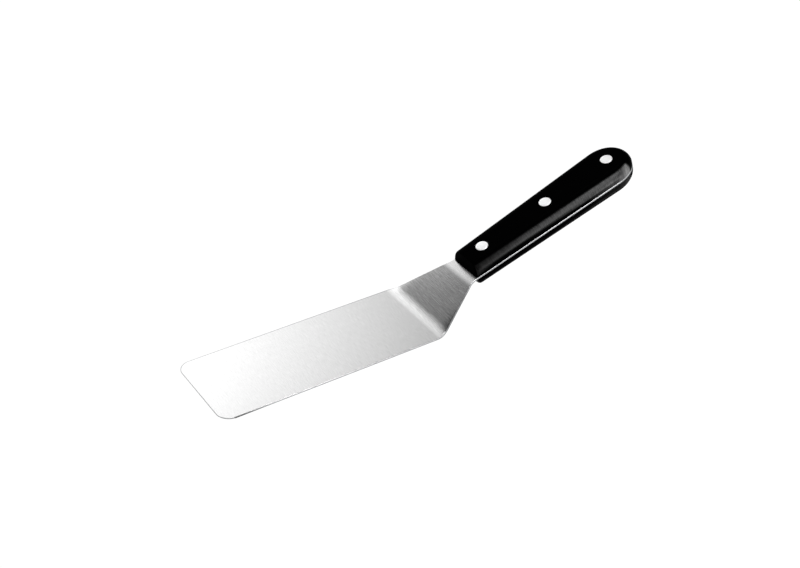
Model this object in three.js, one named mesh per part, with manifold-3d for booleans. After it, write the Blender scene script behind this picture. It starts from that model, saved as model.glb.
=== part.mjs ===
// Flexible offset spatula: a bent steel sheet that is blade, neck and full tang in one, two moulded handle
// scales, and three two-piece rivets. Millimetres, +Z up. The blade lies level, its tip towards -X, and the
// handle rises towards +X. The origin is under the middle of the whole tool, on the plane of the blade's
// underside.
import * as THREE from "three";
import { mergeVertices } from "three/addons/utils/BufferGeometryUtils.js";
import Module from "manifold-3d";

// Steel sheet
const sheetThickness = 1.1;
const edgeBreak = 0.15; // chamfer along the sheet's long edges
const bladeWidth = 54;
const bladeLength = 137.4; // tip to the heel's bend line
const tipCornerRadius = 7.5;
const tipThickness = 0.5; // the tip is ground thinner from below
const tipBevelLength = 8;
const heelBendAngle = 30.7; // degrees
const heelBendRadius = 17; // on the sheet's middle
const neckLength = 31.3; // between the two bend lines
const shoulderSetback = 2.1; // from the heel's bend line to the corner where the taper starts
const shoulderRadius = 12;
const neckFilletRadius = 15;
const tangBendAngle = 11.6; // degrees, back towards level
const tangBendRadius = 25;
const tangLead = 5.6; // bare steel from the tang's bend line to the scales

// Handle
const handleLength = 122;
const handleFrontWidth = 22.9;
const handleButtWidth = 28.2;
const buttRoundLength = 18.5; // the last stretch, where the sides close round the butt
const buttFullness = 0.584; // 0.552 is a true ellipse, more is squarer
const scaleThickness = 7.85;
const leastFlank = 0.6; // upright flank that the rounded edges always leave
const frontLean = 2; // how far the scale's front face slopes back over its thickness
const frontCornerRadius = 2; // upright corners of the scale's front
const frontEdgeRadius = 6.75; // rounding of the long edges at the scale's front
const buttEdgeRadius = 5.4; // the same edges where the butt's round starts
const buttEndRadius = 6.9; // and over the end of the butt
const scaleSeatGap = 0.05; // between a scale and the tang

// Rivets
const rivetNames = ["front", "middle", "rear"]; // evenly spaced from the blade to the butt
const frontRivetOffset = 14; // from the scales' front
const rearRivetOffset = 14.8; // from the end of the butt
const rivetHeadDiameter = 7.5;
const rivetHeadThickness = 2;
const sleeveDiameter = 4.8;
const pinDiameter = 3.2;
const rivetClearance = 0.05; // round heads and shanks, and under the heads
const rivetEndGap = 0.4; // left at the ends of the pin and the sleeve

// Facets
const arcSteps = 10; // steps on a curve of the outline
const bendSteps = 8; // steps round a bend of the sheet
const edgeSteps = 7; // steps round a scale's long edge
const roundSides = 40; // sides of a rivet or a hole

const wasm = await Module();
wasm.setup();

// A closed geometry as a solid that can be cut.
function solidOf(geometry) {
  const bare = geometry.clone();
  bare.deleteAttribute("normal");
  bare.deleteAttribute("uv");
  const merged = mergeVertices(bare, 1e-4);
  return new wasm.Manifold(
    new wasm.Mesh({
      numProp: 3,
      vertProperties: merged.attributes.position.array,
      triVerts: new Uint32Array(merged.index.array),
    }),
  );
}

function geometryOf(solid) {
  const mesh = solid.getMesh();
  const geometry = new THREE.BufferGeometry();
  geometry.setAttribute("position", new THREE.BufferAttribute(mesh.vertProperties, mesh.numProp));
  geometry.setIndex(new THREE.BufferAttribute(mesh.triVerts, 1));
  geometry.computeVertexNormals();
  return geometry;
}

// Skins rings of Vector3, all with as many points in the same turn, and closes the two convex end rings.
function loft(rings) {
  const size = rings[0].length;
  const index = [];
  for (let r = 0; r + 1 < rings.length; r++) {
    for (let i = 0; i < size; i++) {
      const a = r * size + i;
      const b = r * size + ((i + 1) % size);
      index.push(a, b, b + size, a, b + size, a + size);
    }
  }
  const last = (rings.length - 1) * size;
  for (let i = 1; i + 1 < size; i++) {
    index.push(0, i + 1, i);
    index.push(last, last + i, last + i + 1);
  }
  const geometry = new THREE.BufferGeometry().setFromPoints(rings.flat());
  geometry.setIndex(index);
  return geometry;
}

// A solid of revolution about the local Z axis, from [radius, height] pairs that start and end on the axis.
function turned(profile) {
  const points = profile.map(([radius, height]) => new THREE.Vector2(radius, height));
  return new THREE.LatheGeometry(points, roundSides).rotateX(Math.PI / 2);
}

// Sheet: bend lines and developed lengths
const heelAngle = THREE.MathUtils.degToRad(heelBendAngle);
const tangAngle = THREE.MathUtils.degToRad(tangBendAngle);
const handlePitch = heelAngle - tangAngle;
const heelTangent = heelBendRadius * Math.tan(heelAngle / 2);
const tangTangent = tangBendRadius * Math.tan(tangAngle / 2);
const neckFlat = neckLength - heelTangent - tangTangent;
const sheetMiddle = sheetThickness / 2;

// Developed distances from the tip: the ends of each bend, the scales' front and the heel's bend line.
const heelBendStart = bladeLength - heelTangent;
const heelBendEnd = heelBendStart + heelBendRadius * heelAngle;
const tangBendStart = heelBendEnd + neckFlat;
const tangBendEnd = tangBendStart + tangBendRadius * tangAngle;
const handleStart = tangBendEnd - tangTangent + tangLead;
const heelLineAt = (heelBendStart + heelBendEnd) / 2;

// The two bend lines, where the sheet's flats would meet if they were creased.
const heelLine = new THREE.Vector2(bladeLength, sheetMiddle);
const tangLine = new THREE.Vector2(Math.cos(heelAngle), Math.sin(heelAngle))
  .multiplyScalar(neckLength)
  .add(heelLine);

// The sheet's middle in side view, from tip to butt. In the path's own plane x is the tool's X and y its Z.
function sheetPath() {
  const path = new THREE.Path();
  const tangCentre = new THREE.Vector2(
    tangLine.x - Math.cos(heelAngle) * tangTangent + Math.sin(heelAngle) * tangBendRadius,
    tangLine.y - Math.sin(heelAngle) * tangTangent - Math.cos(heelAngle) * tangBendRadius,
  );
  const down = -Math.PI / 2;
  const up = Math.PI / 2;
  path.moveTo(0, sheetMiddle);
  path.lineTo(heelBendStart, sheetMiddle);
  path.absarc(heelBendStart, sheetMiddle + heelBendRadius, heelBendRadius, down, down + heelAngle, false);
  path.absarc(tangCentre.x, tangCentre.y, tangBendRadius, up + heelAngle, up + handlePitch, true);
  const tangEnd = tangLead + handleLength;
  path.lineTo(tangLine.x + Math.cos(handlePitch) * tangEnd, tangLine.y + Math.sin(handlePitch) * tangEnd);
  return path;
}

// Half of the handle's plan outline, added to a path that already ends at its front: the straight side from
// frontHalf to buttHalf, and the round that closes at the butt. endInset draws the butt's end in.
const sideLength = handleLength - buttRoundLength;
function addHandleSide(path, start, frontHalf, buttHalf, endInset) {
  const roundStart = start + sideLength;
  const roundLength = buttRoundLength - endInset;
  const slope = (buttHalf - frontHalf) / sideLength;
  const reach = buttFullness * roundLength;
  const butt = roundStart + roundLength;
  path.lineTo(roundStart, buttHalf);
  path.bezierCurveTo(roundStart + reach, buttHalf + slope * reach, butt, buttFullness * buttHalf, butt, 0);
}

// Half of the sheet's flat pattern: x is the developed distance from the tip, y the half width there.
function flatPattern() {
  const half = bladeWidth / 2;
  const frontHalf = handleFrontWidth / 2;
  const shoulder = new THREE.Vector2(heelLineAt - shoulderSetback, half);
  const throat = new THREE.Vector2(handleStart - tangLead / 2, frontHalf);
  const taper = Math.atan2(shoulder.y - throat.y, throat.x - shoulder.x);
  const shoulderTangent = shoulderRadius * Math.tan(taper / 2);
  const throatTangent = neckFilletRadius * Math.tan(taper / 2);
  const up = Math.PI / 2;
  const pattern = new THREE.Path();
  pattern.moveTo(0, half - tipCornerRadius);
  pattern.absarc(tipCornerRadius, half - tipCornerRadius, tipCornerRadius, Math.PI, up, true);
  pattern.lineTo(shoulder.x - shoulderTangent, half);
  pattern.absarc(shoulder.x - shoulderTangent, half - shoulderRadius, shoulderRadius, up, up - taper, true);
  const filletCentre = frontHalf + neckFilletRadius;
  pattern.absarc(throat.x + throatTangent, filletCentre, neckFilletRadius, -up - taper, -up, false);
  pattern.lineTo(handleStart, frontHalf);
  addHandleSide(pattern, handleStart, frontHalf, handleButtWidth / 2, 0);
  return pattern.getPoints(arcSteps).slice(0, -1);
}

function halfWidthAt(pattern, distance) {
  const next = Math.max(1, pattern.findIndex((point) => point.x >= distance));
  const [a, b] = [pattern[next - 1], pattern[next]];
  return THREE.MathUtils.mapLinear(distance, a.x, b.x, a.y, b.y);
}

// Every developed distance that needs a section: outline points, the bends and the end of the tip's bevel.
function stationsOf(pattern) {
  const stations = pattern.map((point) => point.x);
  stations.push(tipBevelLength);
  for (let i = 0; i <= bendSteps; i++) {
    stations.push(THREE.MathUtils.lerp(heelBendStart, heelBendEnd, i / bendSteps));
    stations.push(THREE.MathUtils.lerp(tangBendStart, tangBendEnd, i / bendSteps));
  }
  stations.sort((a, b) => a - b);
  const leastStep = 0.02;
  return stations.filter((station, i) => i === 0 || station - stations[i - 1] > leastStep);
}

// The sheet's eight-cornered section at one developed distance, square to the path.
function sheetRing(path, pattern, distance) {
  const at = distance / path.getLength();
  const centre = path.getPoint(at);
  const along = path.getTangent(at);
  const half = halfWidthAt(pattern, distance);
  const bevel = Math.max(0, 1 - distance / tipBevelLength);
  const top = sheetMiddle;
  const bottom = (sheetThickness - tipThickness) * bevel - sheetMiddle;
  const chamfer = Math.min(edgeBreak, (top - bottom) / 3);
  const corners = [
    [half, bottom + chamfer],
    [half, top - chamfer],
    [half - chamfer, top],
    [chamfer - half, top],
    [-half, top - chamfer],
    [-half, bottom + chamfer],
    [chamfer - half, bottom],
    [half - chamfer, bottom],
  ];
  return corners.map(([y, z]) => new THREE.Vector3(centre.x - along.y * z, y, centre.y + along.x * z));
}

// Places along the handle, from its front, and heights off the tang's middle
const rearRivetPlace = handleLength - rearRivetOffset;
const rivetPlaces = rivetNames.map((name, i) =>
  THREE.MathUtils.lerp(frontRivetOffset, rearRivetPlace, i / (rivetNames.length - 1)),
);
const seatHeight = sheetMiddle + scaleSeatGap;
const faceHeight = seatHeight + scaleThickness;
const edgeRadiusAt = (radius) => Math.min(radius, scaleThickness - leastFlank);
const headSeat = faceHeight - rivetHeadThickness;

// Moves what is made about the handle's own axes to the tang. There x runs from the scales' front, and z off
// the sheet's middle.
const handlePlace = new THREE.Matrix4()
  .makeTranslation(tangLine.x, 0, tangLine.y)
  .multiply(new THREE.Matrix4().makeRotationY(-handlePitch))
  .multiply(new THREE.Matrix4().makeTranslation(tangLead, 0, 0));

function makeBlade() {
  const path = sheetPath();
  const pattern = flatPattern();
  const rings = stationsOf(pattern).map((distance) => sheetRing(path, pattern, distance));
  const holeRadius = sleeveDiameter / 2 + rivetClearance;
  let blade = solidOf(loft(rings));
  for (const place of rivetPlaces) {
    const hole = new THREE.CylinderGeometry(holeRadius, holeRadius, 2 * sheetThickness, roundSides);
    hole.rotateX(Math.PI / 2).translate(place, 0, 0).applyMatrix4(handlePlace);
    blade = blade.subtract(solidOf(hole));
  }
  return geometryOf(blade);
}

// One plan outline of a scale. On its rounded edge the turn runs from 0 at the flank to a quarter circle at
// the flat face; the outline on the tang has no turn.
function scaleRing(turn, onTang) {
  const frontRadius = edgeRadiusAt(frontEdgeRadius);
  const buttRadius = edgeRadiusAt(buttEdgeRadius);
  const endRadius = edgeRadiusAt(buttEndRadius);
  const drawnIn = 1 - Math.cos(turn);
  const heightOver = (radius) => (onTang ? seatHeight : faceHeight - radius * (1 - Math.sin(turn)));
  const frontHeight = heightOver(frontRadius);
  const buttHeight = heightOver(buttRadius);
  const endHeight = heightOver(endRadius);
  const frontHalf = handleFrontWidth / 2 - frontRadius * drawnIn;
  const buttHalf = handleButtWidth / 2 - buttRadius * drawnIn;
  const endInset = endRadius * drawnIn;
  const corner = Math.min(frontCornerRadius, frontHalf / 2);
  const front = (frontLean * (frontHeight - seatHeight)) / scaleThickness;
  const roundLength = buttRoundLength - endInset;
  const heightAt = (x) => {
    const intoRound = Math.max(0, (x - sideLength) / roundLength);
    const alongSide = THREE.MathUtils.clamp(x / sideLength, 0, 1);
    const sideHeight = THREE.MathUtils.lerp(frontHeight, buttHeight, alongSide);
    return THREE.MathUtils.lerp(sideHeight, endHeight, intoRound ** 2);
  };
  const side = new THREE.Path();
  side.moveTo(front, frontHalf - corner);
  side.quadraticCurveTo(front, frontHalf, front + corner, frontHalf);
  addHandleSide(side, 0, frontHalf, buttHalf, endInset);
  const half = side.getPoints(arcSteps);
  const near = half.map((point) => new THREE.Vector3(point.x, -point.y, heightAt(point.x)));
  const far = half.slice(0, -1).map((point) => new THREE.Vector3(point.x, point.y, heightAt(point.x)));
  return near.concat(far.reverse());
}

function makeScale() {
  const rings = [scaleRing(0, true)];
  for (let i = 0; i <= edgeSteps; i++) {
    rings.push(scaleRing((Math.PI / 2) * (i / edgeSteps), false));
  }
  const headRadius = rivetHeadDiameter / 2 + rivetClearance;
  const shankRadius = sleeveDiameter / 2 + rivetClearance;
  const beyond = scaleThickness;
  const shoulder = headSeat - rivetClearance;
  const bore = turned([
    [0, seatHeight - beyond],
    [shankRadius, seatHeight - beyond],
    [shankRadius, shoulder],
    [headRadius, shoulder],
    [headRadius, faceHeight + beyond],
    [0, faceHeight + beyond],
  ]);
  let scale = solidOf(loft(rings));
  for (const place of rivetPlaces) {
    scale = scale.subtract(solidOf(bore.clone().translate(place, 0, 0)));
  }
  return geometryOf(scale);
}

// The tubular half, whose head shows on the upper scale.
function makeSleeve() {
  const headRadius = rivetHeadDiameter / 2;
  const tubeRadius = sleeveDiameter / 2;
  const boreRadius = pinDiameter / 2 + rivetClearance;
  const tubeEnd = rivetEndGap - headSeat;
  return turned([
    [0, headSeat],
    [boreRadius, headSeat],
    [boreRadius, tubeEnd],
    [tubeRadius, tubeEnd],
    [tubeRadius, headSeat],
    [headRadius, headSeat],
    [headRadius, faceHeight],
    [0, faceHeight],
  ]);
}

// The solid half, whose head shows on the lower scale and whose shank is driven into the sleeve.
function makePin() {
  const headRadius = rivetHeadDiameter / 2;
  const shankRadius = pinDiameter / 2;
  const shankEnd = headSeat - rivetEndGap;
  return turned([
    [0, -faceHeight],
    [headRadius, -faceHeight],
    [headRadius, -headSeat],
    [shankRadius, -headSeat],
    [shankRadius, shankEnd],
    [0, shankEnd],
  ]);
}

function steel() {
  return new THREE.MeshStandardMaterial({ color: 0xd3d4d4, roughness: 0.34, metalness: 1 });
}

function blackPlastic() {
  return new THREE.MeshStandardMaterial({ color: 0x0a0a0b, roughness: 0.38, metalness: 0 });
}

function rivetMetal() {
  return new THREE.MeshStandardMaterial({ color: 0xe4e4e2, roughness: 0.22, metalness: 1 });
}

function addMesh(parent, name, geometry, material) {
  const mesh = new THREE.Mesh(geometry, material);
  mesh.name = name;
  parent.add(mesh);
  return mesh;
}

const tool = new THREE.Group();
addMesh(tool, "blade", makeBlade(), steel());

const handle = new THREE.Group();
handle.applyMatrix4(handlePlace);
tool.add(handle);
addMesh(handle, "upper_scale", makeScale(), blackPlastic());
addMesh(handle, "lower_scale", makeScale(), blackPlastic()).scale.z = -1;
rivetNames.forEach((name, i) => {
  addMesh(handle, `${name}_rivet_sleeve`, makeSleeve(), rivetMetal()).position.x = rivetPlaces[i];
  addMesh(handle, `${name}_rivet_pin`, makePin(), rivetMetal()).position.x = rivetPlaces[i];
});

// The whole tool is centred over the origin in X, with the blade's underside on the ground plane.
const spatula = new THREE.Group();
spatula.add(tool);
const extent = new THREE.Box3().setFromObject(spatula, true);
tool.position.x = -(extent.min.x + extent.max.x) / 2;

export default spatula;
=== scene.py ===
"""Looks of a flexible offset spatula in a white studio.

The tool is a brushed steel sheet bent into blade, neck and tang, two black moulded scales on the tang and
three two-piece rivets. Each piece is a surface worked out with numpy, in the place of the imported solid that
it stands for.
"""

import logging
import math
from collections.abc import Mapping, Sequence
from dataclasses import dataclass, field
from enum import Enum
from typing import Any

import bmesh
import bpy
import numpy as np
from mathutils import Matrix, Vector
from numpy.typing import NDArray


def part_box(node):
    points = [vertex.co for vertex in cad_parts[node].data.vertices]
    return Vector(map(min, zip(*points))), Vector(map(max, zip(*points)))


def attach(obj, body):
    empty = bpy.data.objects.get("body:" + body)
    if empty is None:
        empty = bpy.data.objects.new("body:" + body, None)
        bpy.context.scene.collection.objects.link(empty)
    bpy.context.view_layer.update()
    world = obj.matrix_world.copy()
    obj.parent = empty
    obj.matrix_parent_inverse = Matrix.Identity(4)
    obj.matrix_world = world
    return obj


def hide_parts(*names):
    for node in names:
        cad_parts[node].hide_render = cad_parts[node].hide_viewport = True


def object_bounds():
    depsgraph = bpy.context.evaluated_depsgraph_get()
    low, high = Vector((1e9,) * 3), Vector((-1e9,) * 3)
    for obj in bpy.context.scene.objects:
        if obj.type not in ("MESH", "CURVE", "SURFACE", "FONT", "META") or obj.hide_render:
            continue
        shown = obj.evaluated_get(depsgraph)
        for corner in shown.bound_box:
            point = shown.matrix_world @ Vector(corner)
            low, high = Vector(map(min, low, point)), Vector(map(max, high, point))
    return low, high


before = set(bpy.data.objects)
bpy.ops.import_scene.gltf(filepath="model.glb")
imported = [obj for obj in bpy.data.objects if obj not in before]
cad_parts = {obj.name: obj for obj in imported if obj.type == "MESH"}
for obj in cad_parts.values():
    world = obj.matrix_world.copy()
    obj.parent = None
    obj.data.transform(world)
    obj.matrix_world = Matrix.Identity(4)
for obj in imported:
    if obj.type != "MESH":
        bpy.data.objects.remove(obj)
cad_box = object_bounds()

Floats = NDArray[np.float64]
Whole = NDArray[np.int64]
Pair = tuple[float, float]
Profile = tuple[Pair, ...]
Colour = tuple[float, float, float, float]

log = logging.getLogger("spatula")
MM = 0.001
BODY = "root"
SURFACE_MAP = "surface"
TONE = "tone"
SEAM = 1e-6  # metres; points in one cell of this size become one vertex
SHARP_ANGLE = math.radians(32)
WHITE = (1.0, 1.0, 1.0, 1.0)
RISING = (0.0, 1.0)
FALLING = (1.0, 0.0)
HALF = 0.5  # the mean of a noise and the even share of a mix
NOISE_RANGE = (0.25, 0.75)  # about the lowest and the highest value of a noise
PAINTED_SHADE_SPAN = (7.0, 34.0)  # mm from the tip; between them the painted shade on the near edge fades out


class Slot(Enum):
    """The record's material slots."""

    STEEL = "steel"
    HANDLE = "handle"
    RIVET = "rivet"


class Side(Enum):
    """The two faces of the tang, as the sign of the height off the sheet's middle."""

    UPPER = 1
    LOWER = -1


class Wire:
    """One output socket, on which Python arithmetic adds Math nodes."""

    def __init__(self, bench: "Bench", socket: bpy.types.NodeSocket) -> None:
        """Keeps the socket and the bench that it is wired on."""
        self.bench = bench
        self.socket = socket

    def __add__(self, other: "Value") -> "Wire":
        """Sum of two values."""
        return self.bench.math("ADD", self, other)

    def __sub__(self, other: "Value") -> "Wire":
        """This value less another."""
        return self.bench.math("SUBTRACT", self, other)

    def __rsub__(self, other: "Value") -> "Wire":
        """Another value less this one."""
        return self.bench.math("SUBTRACT", other, self)

    def __mul__(self, other: "Value") -> "Wire":
        """Product of two values."""
        return self.bench.math("MULTIPLY", self, other)

    __radd__ = __add__
    __rmul__ = __mul__


Value = Wire | float | Sequence[float]


@dataclass
class Bench:
    """Adds nodes to one shader tree."""

    tree: bpy.types.NodeTree

    def node(
        self,
        kind: str,
        settings: Mapping[str, Any] | None = None,
        sockets: Mapping[str | int, Value] | None = None,
        output: str | int = 0,
    ) -> Wire:
        """Adds one node.

        Args:
            kind: the node's type, without its ShaderNode prefix.
            settings: properties that are set before the sockets.
            sockets: a value or a wire for each named or numbered input.
            output: the output that is handed back.

        Returns:
            The wire of that output.
        """
        made = self.tree.nodes.new("ShaderNode" + kind)
        for name, setting in (settings or {}).items():
            setattr(made, name, setting)
        for name, value in (sockets or {}).items():
            if isinstance(value, Wire):
                self.tree.links.new(value.socket, made.inputs[name])
            else:
                made.inputs[name].default_value = value
        return Wire(self, made.outputs[output])

    def math(self, operation: str, first: Value, second: Value) -> Wire:
        """Adds a Math node of one operation on two values."""
        return self.node("Math", {"operation": operation}, {0: first, 1: second})

    def part(self, vector: Wire, axis: str) -> Wire:
        """One part of a vector, by the letter of its axis."""
        return self.node("SeparateXYZ", None, {0: vector}, axis)

    def blended(self, share: Value, first: Value, second: Value) -> Wire:
        """Mixes two colours, the second by its share."""
        return self.node("Mix", {"data_type": "RGBA"}, {0: share, 6: first, 7: second}, output=2)

    def mixed(self, share: Value, first: Wire, second: Wire) -> Wire:
        """Mixes two shaders, the second by its share."""
        return self.node("MixShader", None, {0: share, 1: first, 2: second})

    def ranged(self, value: Wire, source: Pair, target: Pair = RISING) -> Wire:
        """Carries a value smoothly from one range to another and holds it at the ends."""
        limits = dict(zip(("From Min", "From Max", "To Min", "To Max"), (*source, *target)))
        return self.node("MapRange", {"interpolation_type": "SMOOTHSTEP"}, {"Value": value, **limits})

    def noise(self, vector: Wire, cell: Pair, detail: float = 2.0) -> Wire:
        """Adds a noise that is drawn out in one direction.

        Args:
            vector: the map in metres.
            cell: lengths of its cells along and across the map, in millimetres.
            detail: how many finer layers lie over it.

        Returns:
            The noise, which keeps to about NOISE_RANGE.
        """
        scale = (1 / (cell[0] * MM), 1 / (cell[1] * MM), 1.0)
        cells = self.node("VectorMath", {"operation": "MULTIPLY"}, {0: vector, 1: scale})
        sockets = {"Vector": cells, "Scale": 1.0, "Detail": detail}
        return self.node("TexNoise", {"noise_dimensions": "2D"}, sockets)

    def bump(self, height: Wire, depth: float) -> Wire:
        """Turns a height from 0 to 1, where 1 stands for a depth in millimetres, into a normal."""
        return self.node("Bump", None, {"Height": height, "Distance": depth * MM, "Strength": 1.0})

    def finish(self, shader: Wire, kind: str = "OutputMaterial") -> None:
        """Links a finished shader to a new output node."""
        output = self.tree.nodes.new("ShaderNode" + kind)
        self.tree.links.new(shader.socket, output.inputs["Surface"])

    def surface_map(self) -> Wire:
        """The piece's own map, in metres along and across its surface."""
        return self.node("UVMap", {"uv_map": SURFACE_MAP})

    def tone(self) -> Wire:
        """The piece's own mark of its worked edges, from 0 to 1."""
        return self.node("Attribute", {"attribute_name": TONE}, None, "Fac")


def new_material(name: str) -> tuple[bpy.types.Material, Bench]:
    """Makes an empty node material.

    Args:
        name: the material's name.

    Returns:
        The material and the bench of its tree.
    """
    material = bpy.data.materials.new(name)
    material.use_nodes = True
    material.node_tree.nodes.clear()
    return material, Bench(material.node_tree)


def metres(lengths: Pair) -> Pair:
    """A pair of lengths in millimetres, turned into metres."""
    return lengths[0] * MM, lengths[1] * MM


@dataclass(frozen=True)
class BrushedSteel:
    """Stainless sheet with a fine grain brushed nearly square across it, duller cut edges and painted shade on
    the near edge.

    Lengths are in millimetres and the grain's turn in degrees. A cell is the grain's pitch and its length.
    """

    name: str = "brushed_steel"
    bright_colour: Colour = WHITE
    dark_colour: Colour = (0.59, 0.59, 0.59, 1.0)
    cut_colour: Colour = (0.36, 0.365, 0.375, 1.0)
    # Near-black colour of the painted shade on the near edge's flank
    painted_shade_colour: Colour = (0.03, 0.03, 0.031, 1.0)
    roughness: float = 0.224
    cut_roughness: float = 0.12
    hair_gloss: float = 0.05
    hair_cell: Pair = (0.22, 7.0)
    hair_depth: float = 0.0006
    fleck_cell: Pair = (0.3, 5.0)
    blade_fleck: float = 0.44
    neck_fleck: float = 1.5
    streak_cell: Pair = (0.3, 15.0)
    neck_streak: float = 1.3
    grain_turn: float = 3.2
    neck_painted_shade: float = 0.5
    neck_start: Pair = (133.0, 141.0)
    neck_end: Pair = (164.5, 168.5)

    def material(self) -> bpy.types.Material:
        """Wires hairlines, short flecks and the neck's long streaks into colour, gloss and relief.

        Returns:
            The material.
        """
        material, bench = new_material(self.name)
        place = bench.surface_map()
        along, over = (bench.part(place, axis) for axis in "XY")
        turn = {"Vector": place, "Angle": math.radians(self.grain_turn)}
        grained = bench.node("VectorRotate", {"rotation_type": "Z_AXIS"}, turn)
        cells = (self.hair_cell, self.fleck_cell, self.streak_cell)
        hair, fleck, streak = (bench.noise(grained, cell) for cell in cells)
        cut = bench.tone()
        neck = bench.ranged(along, metres(self.neck_start))
        neck = neck * bench.ranged(along, metres(self.neck_end), FALLING)
        # Painted shade: the near edge's flank and arris turn near black by the tip and along the neck
        painted_shade_start = metres(PAINTED_SHADE_SPAN)[0]
        near = bench.math("GREATER_THAN", along, painted_shade_start) * bench.math("LESS_THAN", over, 0.0)
        painted_shade = near * (bench.ranged(along, metres(PAINTED_SHADE_SPAN), FALLING) + neck * self.neck_painted_shade)
        flecked = self.blade_fleck + neck * (self.neck_fleck - self.blade_fleck)
        mottle = (fleck - HALF) * flecked + (streak - HALF) * neck * self.neck_streak
        face = bench.blended(HALF + mottle, self.bright_colour, self.dark_colour)
        edge = bench.blended(painted_shade, self.cut_colour, self.painted_shade_colour)
        shader = bench.node(
            "BsdfPrincipled",
            None,
            {
                "Base Color": bench.blended(cut, face, edge),
                "Metallic": 1.0,
                "Roughness": self.roughness + (hair - HALF) * self.hair_gloss + cut * self.cut_roughness,
                "Normal": bench.bump(hair * (1 - cut), self.hair_depth),
            },
        )
        bench.finish(shader)
        return material


@dataclass(frozen=True)
class MouldedPlastic:
    """Dense black plastic, dull on its faces, with long edges buffed crosswise and partly painted with a
    lighter sheen. Lengths in mm.
    """

    name: str = "black_moulded_plastic"
    colour: Colour = (0.0005, 0.0005, 0.00055, 1.0)
    buffed_sheen_colour: Colour = (0.006, 0.006, 0.006, 1.0)
    specular: float = 0.0015
    roughness: float = 0.28
    roughness_spread: float = 0.05
    coat_ior: float = 2.6
    coat_roughness: float = 0.24
    coat_spread: Pair = (0.65, 1.35)
    grain_cell: Pair = (0.5, 7.0)
    grain_detail: float = 3.0
    grain_depth: float = 0.004
    cloud_cell: Pair = (14.0, 14.0)

    def material(self) -> bpy.types.Material:
        """Wires the buffing grain of the edges, their painted sheen and slow clouds of sheen into colour,
        gloss and relief.

        Returns:
            The material.
        """
        material, bench = new_material(self.name)
        place = bench.surface_map()
        buffed_sheen = bench.tone()
        grain = bench.noise(place, self.grain_cell, self.grain_detail)
        cloud = bench.noise(place, self.cloud_cell)
        shader = bench.node(
            "BsdfPrincipled",
            None,
            {
                # The buffed band's lighter colour paints part of its sheen; the coat adds real gloss there
                "Base Color": bench.blended(buffed_sheen, self.colour, self.buffed_sheen_colour),
                "Specular IOR Level": self.specular,
                "Roughness": self.roughness + (cloud - HALF) * self.roughness_spread,
                "Coat Weight": buffed_sheen * bench.ranged(grain, NOISE_RANGE, self.coat_spread),
                "Coat IOR": self.coat_ior,
                "Coat Roughness": self.coat_roughness,
                "Normal": bench.bump(grain * buffed_sheen, self.grain_depth),
            },
        )
        bench.finish(shader)
        return material


@dataclass(frozen=True)
class PolishedRivet:
    """Bright rivet metal, linished flush with the scales. Lengths in mm."""

    name: str = "polished_rivet"
    colour: Colour = WHITE
    dulled_colour: Colour = (0.96, 0.96, 0.96, 1.0)
    dulled_range: Pair = (0.4, 0.7)
    # Colour of the painted highlight round the rim of each head
    rim_highlight_colour: Colour = WHITE
    roughness: float = 0.346
    roughness_spread: float = 0.10
    scratch_cell: Pair = (4.0, 0.12)
    scratch_depth: float = 0.0015

    def material(self) -> bpy.types.Material:
        """Wires straight linishing scratches into colour, gloss and relief; the rim stays lighter, a painted
        highlight.

        Returns:
            The material.
        """
        material, bench = new_material(self.name)
        scratch = bench.noise(bench.surface_map(), self.scratch_cell)
        middle = bench.blended(bench.ranged(scratch, self.dulled_range), self.colour, self.dulled_colour)
        shader = bench.node(
            "BsdfPrincipled",
            None,
            {
                "Base Color": bench.blended(bench.tone(), middle, self.rim_highlight_colour),
                "Metallic": 1.0,
                "Roughness": self.roughness + (scratch - HALF) * self.roughness_spread,
                "Normal": bench.bump(scratch, self.scratch_depth),
            },
        )
        bench.finish(shader)
        return material


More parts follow.
